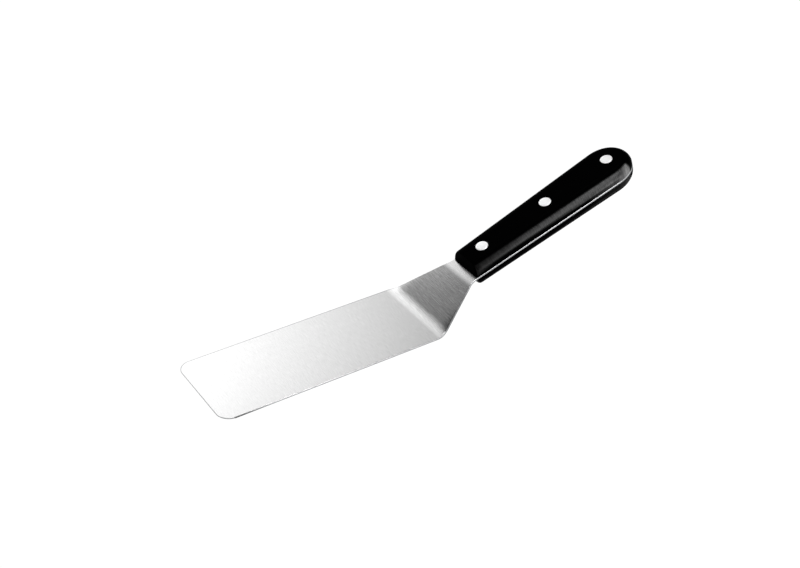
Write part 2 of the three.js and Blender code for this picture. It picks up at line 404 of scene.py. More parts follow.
@dataclass
class Patchwork:
    """Grids of points that are sewn into one mesh along the borders that they share."""

    points: list[Floats] = field(default_factory=list)
    marks: list[Floats] = field(default_factory=list)
    tones: list[Floats] = field(default_factory=list)
    quads: list[Whole] = field(default_factory=list)
    count: int = 0

    def add(self, points: Floats, marks: Floats, around: bool = False, tone: Floats | float = 0.0) -> None:
        """Adds one grid.

        Args:
            points: places in metres, rows by columns by 3.
            marks: map coordinates in millimetres, rows by columns by 2.
            around: whether the last column meets the first.
            tone: how far each point belongs to a worked edge, from 0 to 1.
        """
        rows, columns = points.shape[:2]
        index = self.count + np.arange(rows * columns).reshape(rows, columns)
        if around:
            index = np.column_stack([index, index[:, :1]])
        corners = (index[:-1, :-1], index[:-1, 1:], index[1:, 1:], index[1:, :-1])
        self.quads.append(np.stack(corners, axis=-1).reshape(-1, 4))
        self.points.append(points.reshape(-1, 3))
        self.marks.append(marks.reshape(-1, 2))
        self.tones.append(np.broadcast_to(tone, (rows, columns)).reshape(-1))
        self.count += rows * columns

    def sewn(self, name: str) -> bpy.types.Object:
        """Merges points that coincide, drops the faces that collapse and makes the mesh.

        Args:
            name: the piece's name.

        Returns:
            The piece, linked to the scene.
        """
        points = np.concatenate(self.points)
        cells = np.round(points / SEAM).astype(np.int64)
        _, first, merged = np.unique(cells, axis=0, return_index=True, return_inverse=True)
        quads = merged.reshape(-1)[np.concatenate(self.quads)]
        kept = quads != np.roll(quads, -1, axis=1)
        sides = kept.sum(axis=1)
        triangles = quads[sides == 3][kept[sides == 3]].reshape(-1, 3)
        mesh = bpy.data.meshes.new(name)
        mesh.from_pydata(points[first], [], quads[sides == 4].tolist() + triangles.tolist())
        outward = bmesh.new()
        outward.from_mesh(mesh)
        bmesh.ops.recalc_face_normals(outward, faces=outward.faces)
        outward.to_mesh(mesh)
        outward.free()
        corners = np.empty(len(mesh.loops), dtype=np.int32)
        mesh.loops.foreach_get("vertex_index", corners)
        layer = mesh.uv_layers.new(name=SURFACE_MAP)
        layer.data.foreach_set("uv", (MM * np.concatenate(self.marks)[first][corners]).ravel())
        tone = mesh.attributes.new(TONE, "FLOAT", "POINT")
        tone.data.foreach_set("value", np.concatenate(self.tones)[first])
        mesh.shade_smooth()
        mesh.set_sharp_from_angle(angle=SHARP_ANGLE)
        piece = bpy.data.objects.new(name, mesh)
        bpy.context.scene.collection.objects.link(piece)
        return piece


def hand_over(piece: bpy.types.Object, slot: Slot, material: bpy.types.Material, *nodes: str) -> None:
    """Dresses a finished piece and lets it stand for its solids.

    Args:
        piece: the piece.
        slot: the record's slot that its finish belongs to; not used.
        material: the finish.
        nodes: the solids that it replaces.
    """
    piece.data.materials.append(material)
    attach(piece, BODY)
    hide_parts(*nodes)
    log.info("%s: %d faces for %s", piece.name, len(piece.data.polygons), ", ".join(nodes))


def ramp(values: Floats, start: Floats | float, end: Floats | float) -> Floats:
    """Straight share from 0 at the start to 1 at the end, held beyond both."""
    return np.clip((values - start) / (end - start), 0, 1)


def eased(share: Floats) -> Floats:
    """Smooth step of a share, held at 0 and at 1."""
    held = np.clip(share, 0, 1)
    return held**2 * (3 - 2 * held)


def read(profile: Profile, places: Floats) -> Floats:
    """Values of a profile at places along it, on straight lines between its points."""
    return np.interp(places, *np.transpose(profile))


def closed_ring(half: Floats) -> Floats:
    """Completes half a plan outline, from its front to its butt on the middle line, with its mirror image."""
    mirrored = half[..., -2:0:-1, :] * (1.0, -1.0)
    return np.concatenate([half, mirrored], axis=-2)


def inward(ring: Floats) -> Floats:
    """Normals into a closed ring: each is the turned chord between a point's two neighbours.

    Args:
        ring: the ring's points in order.

    Returns:
        A unit vector for each point.
    """
    chord = np.roll(ring, -1, axis=0) - np.roll(ring, 1, axis=0)
    normal = np.stack([chord[:, 1], -chord[:, 0]], axis=-1)
    return normal / np.linalg.norm(normal, axis=-1, keepdims=True)


def across(ring: Floats, row: int, columns: int) -> Floats:
    """Points on the straight line between a ring's point and its mirror image, the mirrored side first."""
    share = np.linspace(0.0, 1.0, columns + 1)[:, None]
    return ring[-row] + (ring[row] - ring[-row]) * share


def parting_rows(along: Floats, places: Sequence[float], first: int) -> list[int]:
    """Rows of half an outline between which the rivets lie one by one.

    Args:
        along: the rows' distances along the handle.
        places: the rivets' distances along it.
        first: the row where the handle starts.

    Returns:
        That row, the rows nearest to the middle between two rivets, and the last row.
    """
    middles = [(a + b) / 2 for a, b in zip(places, places[1:])]
    return [first, *(int(np.argmin(np.abs(along - middle))) for middle in middles), len(along) - 1]


def cell_border(ring: Floats, first: int, last: int, columns: int) -> Floats:
    """Border of a ring's stretch between two rows: a side, the end line, the other side, the start line.

    Args:
        ring: the closed ring.
        first: the row where the stretch starts.
        last: the row where it ends.
        columns: steps on the lines that cross the ring.

    Returns:
        The border's points in order.
    """
    side = ring[first : last + 1]
    other = ring[-np.arange(last, first - 1, -1)]
    end_line = across(ring, last, columns)[-2:0:-1]
    start_line = across(ring, first, columns)[1:-1]
    return np.concatenate([side, end_line, other, start_line])


def holed(border: Floats, centre: Floats, radius: float, steps: int) -> Floats:
    """Ruled surface from a hole's circle to a border, along rays from the hole's centre.

    Args:
        border: the border's points.
        centre: the hole's centre.
        radius: the hole's radius.
        steps: steps along each ray.

    Returns:
        Points, steps + 1 by border points by 2, with the circle first.
    """
    ray = border - centre
    circle = centre + radius * ray / np.linalg.norm(ray, axis=-1, keepdims=True)
    share = np.linspace(0.0, 1.0, steps + 1)[:, None, None]
    return circle + (border - circle) * share


def butt_round(
    start: Floats, end: Floats, half: Floats, slope: Floats, fullness: float, steps: int
) -> Floats:
    """The cubic curve that carries a side on at its slope and closes it square on the middle line.

    Its control points are the start, one further on at the slope, one beside the end, and the end.

    Args:
        start: where the round starts along the handle.
        end: where it closes.
        half: half width at its start.
        slope: the side's slope at its start.
        fullness: how square it is.
        steps: steps along the curve.

    Returns:
        Points after the start, the sizes' shape by steps by 2.
    """
    reach = fullness * (end - start)
    gone = np.linspace(0.0, 1.0, steps + 1)[1:]
    left = 1 - gone
    first, second, third, fourth = left**3, 3 * gone * left**2, 3 * gone**2 * left, gone**3
    x = first * start + second * (start + reach) + (third + fourth) * end
    y = first * half + second * (half + slope * reach) + third * fullness * half
    return np.stack([x, y], axis=-1)


@dataclass
class BentSheet:
    """Blade, neck and tang: one sheet, cut to a flat pattern and bent on two lines. In mm and degrees."""

    thickness: float = 1.1
    arris: float = 0.3
    arris_share: float = 0.4
    margin: float = 0.35
    blade_width: float = 54.0
    blade_length: float = 137.4
    tip_corner_radius: float = 7.5
    tip_thickness: float = 0.5
    tip_bevel_length: float = 8.0
    heel_bend_angle: float = 30.7
    heel_bend_radius: float = 17.0
    neck_length: float = 31.3
    shoulder_setback: float = 2.1
    shoulder_radius: float = 12.0
    neck_fillet_radius: float = 15.0
    tang_bend_angle: float = 11.6
    tang_bend_radius: float = 15.0
    tang_lead: float = 5.6
    neck_droop: float = 0.041
    heel_droop: float = 0.205
    heel_droop_place: float = 139.0
    heel_droop_onset: float = 4.63
    heel_droop_tail: float = 17.8
    heel_droop_power: float = 9.4
    handle_length: float = 122.0
    handle_front_width: float = 22.9
    handle_butt_width: float = 28.2
    butt_round_length: float = 18.5
    butt_fullness: float = 0.584
    rivet_hole_radius: float = 2.45
    rivet_places: tuple[float, ...] = (14.0, 60.6, 107.2)
    # The far arris and the blade's far margin take the flank's dull colour, a painted shade line along the far
    # outline
    rim_fading: Profile = ((-0.7, 0.25), (0.7, 2.0))
    far_painted_shade: Profile = ((-0.7, 1.0), (0.35, 0.0))
    far_painted_shade_fade: float = 6.0
    # How far the painted shade on the near edge pulls the arris into the flank's colour, and where it starts
    # and ends on the neck
    dark_edge: float = 0.85
    dark_neck_lead: float = 2.0
    dark_neck_tail: float = 4.0
    columns: int = 48
    corner_steps: int = 18
    side_steps: tuple[int, ...] = (36, 26, 22, 16, 8, 48)
    butt_steps: int = 28
    arris_steps: int = 7
    hole_steps: int = 6
    support: float = 0.08

    def __post_init__(self) -> None:
        """Works out the developed distances from the tip at which each stretch of the sheet ends."""
        self.heel = math.radians(self.heel_bend_angle)
        self.pitch = self.heel - math.radians(self.tang_bend_angle)
        heel_tangent = self.heel_bend_radius * math.tan(self.heel / 2)
        tang_tangent = self.tang_bend_radius * math.tan((self.heel - self.pitch) / 2)
        self.heel_start = self.blade_length - heel_tangent
        self.heel_end = self.heel_start + self.heel_bend_radius * self.heel
        self.tang_start = self.heel_end + self.neck_length - heel_tangent - tang_tangent
        self.tang_end = self.tang_start + self.tang_bend_radius * (self.heel - self.pitch)
        self.handle_start = self.tang_end - tang_tangent + self.tang_lead
        self.side_end = self.handle_start + self.handle_length - self.butt_round_length
        self.tip_corner = Vector(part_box("blade")[0]) / MM

    def place(self, along: Floats, over: Floats, off: Floats) -> Floats:
        """Bends flat coordinates into space.

        The sheet's middle line is a sum of stretches, each run as far as the distance along reaches: level
        blade, heel arc, straight neck, tang arc and straight tang. Heights off the sheet stand square to it.

        Args:
            along: developed distances from the tip.
            over: distances from the middle plane.
            off: heights off the sheet's middle.

        Returns:
            Places in metres.
        """
        along, over, off = np.broadcast_arrays(along, over, off)
        off = off - self.droop(along, over)
        raised = np.clip(along - self.heel_start, 0, self.heel_end - self.heel_start) / self.heel_bend_radius
        neck = np.clip(along - self.heel_end, 0, self.tang_start - self.heel_end)
        lowered = np.clip(along - self.tang_start, 0, self.tang_end - self.tang_start) / self.tang_bend_radius
        tang = np.maximum(along - self.tang_end, 0)
        x = np.minimum(along, self.heel_start) + self.heel_bend_radius * np.sin(raised)
        x = x + neck * math.cos(self.heel) + tang * math.cos(self.pitch)
        x = x + self.tang_bend_radius * (math.sin(self.heel) - np.sin(self.heel - lowered))
        z = self.heel_bend_radius * (1 - np.cos(raised))
        z = z + neck * math.sin(self.heel) + tang * math.sin(self.pitch)
        z = z + self.tang_bend_radius * (np.cos(self.heel - lowered) - math.cos(self.heel))
        lean = raised - lowered
        x = x + self.tip_corner.x - off * np.sin(lean)
        z = z + self.tip_corner.z + self.thickness / 2 + off * np.cos(lean)
        return MM * np.stack([x, over, z], axis=-1)

    def droop(self, along: Floats, over: Floats) -> Floats:
        """Fall of the edges under the sheet's middle.

        The neck arches as the square of the distance from the middle plane. In the heel bend, where the upper
        face is squeezed, the edges fall as a high power of their share of the half width, and recover along
        the neck.

        Args:
            along: developed distances from the tip.
            over: distances from the middle plane.

        Returns:
            Heights to take off.
        """
        sets_in = eased((along - self.heel_end) / (self.tang_start - self.heel_end))
        dies_out = eased((self.handle_start - along) / (self.handle_start - self.tang_start))
        arch = self.neck_droop * sets_in * dies_out * (2 * over / self.handle_front_width) ** 2
        falls = eased((along - self.heel_droop_place) / self.heel_droop_onset + 1)
        recovers = eased((along - self.heel_droop_place) / self.heel_droop_tail)
        outward = np.abs(over / self.half_width(along)) ** self.heel_droop_power
        return arch + self.heel_droop * falls * (1 - recovers) * outward

    def half_width(self, along: Floats) -> Floats:
        """Half width of the flat pattern: blade, shoulder arc, straight taper, neck fillet, tang.

        Args:
            along: developed distances from the tip.

        Returns:
            Half widths as far as the butt's round.
        """
        half, front = self.blade_width / 2, self.handle_front_width / 2
        shoulder = (self.heel_start + self.heel_end) / 2 - self.shoulder_setback
        throat = self.handle_start - self.tang_lead / 2
        taper = math.atan2(half - front, throat - shoulder)
        shoulder_start = shoulder - self.shoulder_radius * math.tan(taper / 2)
        throat_end = throat + self.neck_fillet_radius * math.tan(taper / 2)
        outer, inner = self.shoulder_radius, self.neck_fillet_radius
        drop = np.sqrt(np.maximum(outer**2 - (along - shoulder_start) ** 2, 0))
        swell = np.sqrt(np.maximum(inner**2 - (throat_end - along) ** 2, 0))
        stretches = [
            (along < shoulder_start, half),
            (along < shoulder_start + outer * math.sin(taper), half - outer + drop),
            (along < throat_end - inner * math.sin(taper), half - (along - shoulder) * math.tan(taper)),
            (along < throat_end, front + inner - swell),
            (along < self.handle_start, front),
        ]
        beyond = front + self.tang_slope() * (along - self.handle_start)
        return np.select([test for test, _ in stretches], [width for _, width in stretches], beyond)

    def tang_slope(self) -> float:
        """How fast the tang's half width grows towards the butt."""
        growth = (self.handle_butt_width - self.handle_front_width) / 2
        return growth / (self.side_end - self.handle_start)

    def half_pattern(self) -> Floats:
        """Half of the flat pattern from the middle of the tip to the butt: tip, corner arc, side, butt round.

        Returns:
            Points along and over the sheet.
        """
        half, radius = self.blade_width / 2, self.tip_corner_radius
        tip = np.linspace(0, half - radius, self.columns // 2 + 1)
        turn = np.linspace(0, math.pi / 2, self.corner_steps + 1)[1:-1]
        stops = (radius, self.heel_start, self.heel_end, self.tang_start, self.tang_end, self.handle_start)
        runs = zip(stops, stops[1:] + (self.side_end,), self.side_steps)
        along = np.concatenate([np.linspace(a, b, count, endpoint=False) for a, b, count in runs])
        along = np.append(along, self.side_end)
        end = self.handle_start + self.handle_length
        butt = (self.side_end, end, self.handle_butt_width / 2, self.tang_slope(), self.butt_fullness)
        return np.concatenate(
            [
                np.stack([np.zeros_like(tip), tip], axis=-1),
                np.stack([radius * (1 - np.cos(turn)), half - radius * (1 - np.sin(turn))], axis=-1),
                np.stack([along, self.half_width(along)], axis=-1),
                butt_round(*butt, self.butt_steps),
            ]
        )

    def face(self, along: Floats, side: Side) -> Floats:
        """Height of a face off the sheet's middle: level, but the lower one bevels up to the thin tip."""
        bevel = np.maximum(0, 1 - along / self.tip_bevel_length) * (side is Side.LOWER)
        return (self.thickness - self.tip_thickness) * bevel + side.value * self.thickness / 2

    def rim(self, ring: Floats) -> tuple[Floats, Floats]:
        """Carries the edge's section round the pattern: quarter round, flank and another quarter round.

        Args:
            ring: the pattern's outline.

        Returns:
            Plan points, section steps by outline points by 2, and their heights off the sheet's middle.
        """
        top = self.thickness / 2
        bottom = self.face(ring[:, 0], Side.LOWER)
        radius = np.minimum(self.arris, self.arris_share * (top - bottom))
        turn = np.linspace(math.pi / 2, 0, self.arris_steps + 1)[:, None]
        drawn_in = radius * (1 - np.cos(turn))
        sunk = radius * (1 - np.sin(turn))
        shelf = (radius + self.support)[None]
        inset = np.concatenate([shelf + self.margin, shelf, drawn_in, drawn_in[::-1], shelf])
        plan = ring + inset[..., None] * inward(ring)
        lower = self.face(plan[..., 0], Side.LOWER)[-len(sunk) - 1 :]
        level = np.full((2, len(ring)), top)
        height = np.concatenate([level, top - sunk, lower[:-1] + sunk[::-1], lower[-1:]])
        return plan, height

    def rim_tone(self, ring: Floats) -> Floats:
        """How dull the rim is: clear on the face and full on the flank.

        The dull part reaches further up on the far side, where it takes in the blade's margin as a painted
        shade line along the far outline, and on the near side by the tip and along the neck, where the flank
        takes a painted shade.

        Args:
            ring: the pattern's outline.

        Returns:
            Shares from 0 to 1, section steps by outline points.
        """
        along, facing = ring[:, 0], inward(ring)[:, 1]
        # Painted shade on the near edge, by the tip and along the neck
        painted_shade = (along > PAINTED_SHADE_SPAN[0]) * ramp(along, PAINTED_SHADE_SPAN[1], PAINTED_SHADE_SPAN[0])
        neck = ramp(along, self.heel_start + self.dark_neck_lead, self.heel_end)
        neck = neck * ramp(along, self.tang_start, self.tang_start - self.dark_neck_tail)
        dark = self.dark_edge * np.maximum(painted_shade, neck * (facing > 0))
        rise = np.linspace(0, 1, self.arris_steps + 1)
        into_flank = np.concatenate([[0.0, 0.0], rise, rise[::-1], [0.0]])
        tone = into_flank[:, None] ** (read(self.rim_fading, facing) * (1 - dark))
        # Painted shade line along the blade's far margin, up to the heel
        on_blade = ramp(along, self.heel_end, self.heel_end - self.far_painted_shade_fade)
        tone[1:-1] = np.maximum(tone[1:-1], read(self.far_painted_shade, facing) * on_blade)
        return tone

    def build(self) -> bpy.types.Object:
        """Sews the rim, the faces of blade and neck, and the tang's faces and rivet holes into one sheet.

        Returns:
            The sheet.
        """
        half = self.half_pattern()
        ring = closed_ring(half)
        plan, height = self.rim(ring)
        work = Patchwork()
        work.add(self.place(plan[..., 0], plan[..., 1], height), plan, around=True, tone=self.rim_tone(ring))
        tip_row = self.columns // 2
        behind = half[:, 0] - self.handle_start
        handle_row = int(np.argmin(np.abs(behind)))
        rows = parting_rows(behind, self.rivet_places, handle_row)
        circles: list[list[Floats]] = []
        for side, edge in zip(Side, (plan[0], plan[-1])):
            tip_line = edge[np.arange(-tip_row, tip_row + 1)]
            web = [across(edge, row, self.columns) for row in range(tip_row + 1, handle_row + 1)]
            patches = [np.stack([tip_line, *web])]
            for first, last, place in zip(rows, rows[1:], self.rivet_places):
                centre = np.array([self.handle_start + place, 0.0])
                border = cell_border(edge, first, last, self.columns)
                patches.append(holed(border, centre, self.rivet_hole_radius, self.hole_steps))
            for number, patch in enumerate(patches):
                off = self.face(patch[..., 0], side)
                work.add(self.place(patch[..., 0], patch[..., 1], off), patch, around=number > 0)
            circles.append([patch[0] for patch in patches[1:]])
        for walls in zip(*circles):
            wall = np.stack(walls)
            off = np.array([[side.value] for side in Side]) * self.thickness / 2
            work.add(self.place(wall[..., 0], wall[..., 1], off), wall, around=True)
        return work.sewn("brushed_sheet")

    def dress(self, finish: BrushedSteel) -> None:
        """Builds the sheet and hands it over in its finish."""
        hand_over(self.build(), Slot.STEEL, finish.material(), "blade")


@dataclass
class HandleScale:
    """One moulded half of the handle, in the handle's own lengths: x from its front, z off the tang's middle.

    Lengths are in millimetres and tilts in degrees from the flat face. The profiles run along the handle.
    """

    sheet: BentSheet
    thickness: float = 7.85
    seat_gap: float = 0.05
    front_lean: float = 2.0
    front_lip: float = 0.5
    front_corner_radius: float = 2.0
    front_edge_radius: float = 6.75
    butt_edge_radius: float = 5.4
    butt_end_radius: float = 6.9
    seat_break: float = 0.12
    head_bore_radius: float = 3.78
    head_depth: float = 2.05
    # Share of the buffed band along the handle, laid out to follow how bright its highlight is: partly painted
    # sheen
    sheen: Profile = (
        (0, 0.047), (20, 0.078), (35, 0.105), (65, 0.132), (80, 0.132),
        (90, 0.138), (97, 0.145), (103, 0.145), (106.5, 0.34), (109.5, 0.9),
    )
    flank_sheen: Profile = ((60, 0), (95, 3), (103, 3), (107, 0))
    flank_tilt: Pair = (66.0, 80.0)
    band_top: Pair = (33.0, 39.0)
    band_foot: Profile = ((0, 88), (12, 74), (30, 72), (50, 77), (80, 84), (103, 89), (110, 106))
    band_fade: float = 6.0
    front_fade: Pair = (0.3, 0.7)
    butt_fade: Pair = (0.6, 0.5)
    lower_sheen: float = 0.13
    front_steps: int = 6
    corner_steps: int = 8
    side_steps: int = 60
    edge_steps: int = 26
    columns: int = 8
    hole_steps: int = 5
    support: float = 0.06

    def __post_init__(self) -> None:
        """Works out the heights of the seat and of the flat face off the tang's middle."""
        self.seat = self.sheet.thickness / 2 + self.seat_gap
        self.face = self.seat + self.thickness

    def front(self, height: Floats) -> Floats:
        """Front face: it slopes back as it rises and ends in a small quarter round under the flat face.

        Args:
            height: heights off the tang's middle.

        Returns:
            Distances behind the front of the seat.
        """
        into_lip = np.clip((height - self.face) / self.front_lip + 1, 0, 1)
        lip = self.front_lip * (1 - np.sqrt(1 - into_lip**2))
        return self.front_lean * (height - self.seat) / self.thickness + lip

    def half_rings(self, turn: Floats) -> Floats:
        """Half plan outlines over the rounded long edge: front, corner, straight side and butt round.

        Each outline is drawn in by its edge radius times one less the cosine of the turn and lies below the
        flat face by the radius times one less the sine. The radius changes from the front to the butt and
        over its end.

        Args:
            turn: turns from 0 at the flank to a quarter circle at the flat face.

        Returns:
            Points and how far each is buffed and painted with sheen, turns by outline points by 4.
        """
        turn = turn[:, None]
        drawn_in, sunk = 1 - np.cos(turn), 1 - np.sin(turn)
        front_height = self.face - self.front_edge_radius * sunk
        butt_height = self.face - self.butt_edge_radius * sunk
        end_height = self.face - self.butt_end_radius * sunk
        front_half = self.sheet.handle_front_width / 2 - self.front_edge_radius * drawn_in
        butt_half = self.sheet.handle_butt_width / 2 - self.butt_edge_radius * drawn_in
        length = self.sheet.handle_length - self.sheet.butt_round_length
        end = self.sheet.handle_length - self.butt_end_radius * drawn_in
        slope = (butt_half - front_half) / length
        corner = np.minimum(self.front_corner_radius, front_half / 2)
        front = self.front(front_height)
        edge = np.linspace(0, 1, self.front_steps, endpoint=False)
        bend = np.linspace(0, 1, self.corner_steps, endpoint=False)
        run = np.linspace(0, 1, self.side_steps + 1)
        stretches = (
            (front + 0 * edge, (front_half - corner) * edge),
            (front + corner * bend**2, front_half - corner * (1 - bend) ** 2),
            (front + corner + (length - front - corner) * run, front_half + (butt_half - front_half) * run),
        )
        sides = [np.stack(stretch, axis=-1) for stretch in stretches]
        butt = butt_round(length, end, butt_half, slope, self.sheet.butt_fullness, self.sheet.butt_steps)
        plan = np.concatenate([*sides, butt], axis=1)
        into_round = np.maximum(0, (plan[..., 0] - length) / (end - length))
        beside = front_height + (butt_height - front_height) * np.clip(plan[..., 0] / length, 0, 1)
        height = beside + (end_height - beside) * into_round**2
        buffed_sheen = self.buffed_sheen_band(90 - np.degrees(turn), plan[..., 0] - front, into_round)
        return np.concatenate([plan, height[..., None], buffed_sheen[..., None]], axis=-1)

    def buffed_sheen_band(self, tilt: Floats, behind: Floats, into_round: Floats) -> Floats:
        """How far the long edge is buffed and painted with sheen: a band that sets in behind the front and
        ends on the butt.

        Args:
            tilt: the edge's tilt from the flat face.
            behind: distances behind the front face.
            into_round: how far the butt's round has run, from 0 to 1.

        Returns:
            Shares from 0 to 1.
        """
        share = read(self.sheen, behind)
        share = share * (1 + read(self.flank_sheen, behind) * ramp(tilt, *self.flank_tilt))
        foot = read(self.band_foot, behind)
        band = ramp(tilt, *self.band_top) * ramp(tilt, foot + self.band_fade, foot - self.band_fade)
        return share * band * ramp(behind, *self.front_fade) * ramp(into_round, *self.butt_fade)

    def rings(self) -> Floats:
        """Closed outlines from the seat to the flat face: seat, broken edge, flank, rounded edge, flat.

        Returns:
            Points and how far each is buffed and painted with sheen, outlines by points by 4.
        """
        shaped = self.half_rings(np.linspace(0, math.pi / 2, self.edge_steps + 1))
        plan = closed_ring(shaped[..., :2])
        mirrored = shaped[:, -2:0:-1, 2:]
        height, buffed_sheen = np.concatenate([shaped[..., 2:], mirrored], axis=1).transpose(2, 0, 1)
        lean = self.front(height[0]) * (plan[0, :, 0] < self.front_corner_radius)
        foot = plan[0] - np.stack([lean, 0 * lean], axis=-1)
        insets = (self.seat_break + self.support, self.seat_break, 0.0)
        seat = [foot + inset * inward(foot) for inset in insets]
        flat = plan[-1] + self.support * inward(plan[-1])
        plan = np.stack([*seat, *plan, flat])
        seat_height = np.array([self.seat, self.seat, self.seat + self.seat_break])[:, None]
        height = np.concatenate([seat_height + 0 * height[:1], height, height[-1:]])
        buffed_sheen = np.concatenate([buffed_sheen[[0, 0, 0]], buffed_sheen, buffed_sheen[-1:]])
        return np.concatenate([plan, height[..., None], buffed_sheen[..., None]], axis=-1)

    def put(self, points: Floats, side: Side) -> Floats:
        """Carries the handle's own lengths to one face of the tang."""
        x, y, z = np.moveaxis(points[..., :3], -1, 0)
        return self.sheet.place(self.sheet.handle_start + x, y, side.value * z)

    def lay(self, work: Patchwork, plan: Floats, level: Floats | float, side: Side) -> None:
        """Adds a grid that closes round a rivet, at its heights off the tang's middle."""
        height = np.broadcast_to(level, plan.shape[:2])[..., None]
        work.add(self.put(np.concatenate([plan, height], axis=-1), side), plan, around=True)

    def build(self, side: Side) -> bpy.types.Object:
        """Sews the skin, the two flat faces and the stepped rivet bores.

        Args:
            side: the face of the tang that the scale lies on.

        Returns:
            The scale.
        """
        rings = self.rings()
        work = Patchwork()
        skin_marks = np.stack([rings[..., 0], rings[..., 1] + rings[..., 2]], axis=-1)
        # The lower scale gets a weaker band: less painted sheen and less coat, a shaded copy of the upper one
        sheen = rings[..., 3] * (1.0 if side is Side.UPPER else self.lower_sheen)
        work.add(self.put(rings, side), skin_marks, around=True, tone=sheen)
        places, hole_radius = self.sheet.rivet_places, self.sheet.rivet_hole_radius
        rows = parting_rows(rings[-1, : rings.shape[1] // 2 + 1, 0], places, 0)
        shoulder = self.face - self.head_depth
        for first, last, place in zip(rows, rows[1:], places):
            centre = np.array([place, 0.0])
            ends: list[Floats] = []
            for ring, radius in ((rings[-1], self.head_bore_radius), (rings[0], hole_radius)):
                border = cell_border(ring[:, :2], first, last, self.columns)
                patch = holed(border, centre, radius, self.hole_steps)
                self.lay(work, patch, ring[0, 2], side)
                ends.append(patch[0])
            neck = centre + (ends[0] - centre) * hole_radius / self.head_bore_radius
            bore = np.stack([ends[0], ends[0], neck, ends[1]])
            self.lay(work, bore, np.array([[self.face], [shoulder], [shoulder], [self.seat]]), side)
        return work.sewn(f"{side.name.lower()}_handle_scale")

    def dress(self, finish: MouldedPlastic) -> None:
        """Builds both scales and hands them over in their finish.

        Args:
            finish: the finish that they share.
        """
        plastic = finish.material()
        for side in Side:
            hand_over(self.build(side), Slot.HANDLE, plastic, f"{side.name.lower()}_scale")


@dataclass
class HandleRivet:
    """Two-piece rivets: a sleeve with its head on the upper scale, a pin with its head on the lower. In mm."""

    scale: HandleScale
    names: tuple[str, ...] = ("front", "middle", "rear")
    head_radius: float = 3.75
    head_thickness: float = 2.0
    rim_radius: float = 0.35
    rim_start: float = 0.74
    rim_power: float = 0.5
    crown: float = 0.05
    sleeve_radius: float = 2.4
    pin_radius: float = 1.6
    clearance: float = 0.05
    end_gap: float = 0.4
    rim_steps: int = 7
    face_steps: int = 8
    sides: int = 72

    def head(self) -> Floats:
        """Profile of a head from its seat to its middle: flank, rounded rim and a slightly crowned face.

        Returns:
            Radii and heights off the flat face of the scale.
        """
        flat = self.head_radius - self.rim_radius
        turn = np.linspace(0, math.pi / 2, self.rim_steps + 1)
        rim = (flat + self.rim_radius * np.cos(turn), self.rim_radius * (np.sin(turn) - 1))
        share = np.linspace(1, 0, self.face_steps + 1)[1:]
        face = (flat * share, self.crown * (1 - share**2))
        seat = [(self.head_radius, -self.head_thickness)]
        return np.concatenate([seat, np.transpose(rim), np.transpose(face)])

    def turned(self, name: str, place: float, profile: Floats) -> bpy.types.Object:
        """Turns a profile about the rivet's own axis.

        Args:
            name: the piece's name.
            place: the rivet's distance from the scales' front.
            profile: radii and heights off the tang's middle.

        Returns:
            The piece.
        """
        radius, height = profile.T[..., None]
        angle = np.linspace(0, 2 * math.pi, self.sides, endpoint=False)
        plan = np.stack([place + radius * np.cos(angle), radius * np.sin(angle)], axis=-1)
        along = self.scale.sheet.handle_start + plan[..., 0]
        # Painted highlight: the head's outer ring is kept lighter than its scratched middle
        painted_rim_highlight = ramp(radius / self.head_radius, self.rim_start, 1.0) ** self.rim_power
        work = Patchwork()
        work.add(self.scale.sheet.place(along, plan[..., 1], height), plan, around=True, tone=painted_rim_highlight)
        return work.sewn(name)

    def build(self, name: str, place: float) -> tuple[bpy.types.Object, bpy.types.Object]:
        """Makes the two halves of one rivet.

        Args:
            name: where the rivet is.
            place: its distance from the scales' front.

        Returns:
            The sleeve and the pin.
        """
        face = self.scale.face
        seat = face - self.head_thickness
        head = self.head() + (0.0, face)
        bore, outside = self.pin_radius + self.clearance, self.sleeve_radius
        tube_end, shank_end = self.end_gap - seat, seat - self.end_gap
        tube = [(0.0, seat), (bore, seat), (bore, tube_end), (outside, tube_end), (outside, seat)]
        shank = [(0.0, shank_end), (self.pin_radius, shank_end), (self.pin_radius, -seat)]
        sleeve = self.turned(f"{name}_sleeve", place, np.concatenate([tube, head]))
        pin = self.turned(f"{name}_pin", place, np.concatenate([shank, head * (1.0, -1.0)]))
        return sleeve, pin

    def dress(self, finish: PolishedRivet) -> None:
        """Builds all rivets and hands their halves over in their finish.

        Args:
            finish: the finish that they share.
        """
        bright = finish.material()
        for name, place in zip(self.names, self.scale.sheet.rivet_places):
            for half, node in zip(self.build(f"{name}_turned", place), ("sleeve", "pin")):
                hand_over(half, Slot.RIVET, bright, f"{name}_rivet_{node}")


def bearing(azimuth: float, elevation: float) -> Vector:
    """Unit vector of an azimuth from +X towards +Y and an elevation, in degrees."""
    around, above = math.radians(azimuth), math.radians(elevation)
    return Vector((math.cos(around) * math.cos(above), math.sin(around) * math.cos(above), math.sin(above)))


def staged_panel(
    name: str, corners: Sequence[Sequence[float]], material: bpy.types.Material
) -> bpy.types.Object:
    """Puts a rectangle into the studio.

    Args:
        name: the panel's name.
        corners: its four corners in order.
        material: its finish.

    Returns:
        The panel, with a map that runs from 0 to 1 both ways.
    """
    mesh = bpy.data.meshes.new(name)
    mesh.from_pydata(corners, [], [(0, 1, 2, 3)])
    mesh.uv_layers.new(name=SURFACE_MAP).data.foreach_set("uv", (0, 0, 1, 0, 1, 1, 0, 1))
    mesh.materials.append(material)
    panel = bpy.data.objects.new(name, mesh)
    bpy.context.scene.collection.objects.link(panel)
    return panel


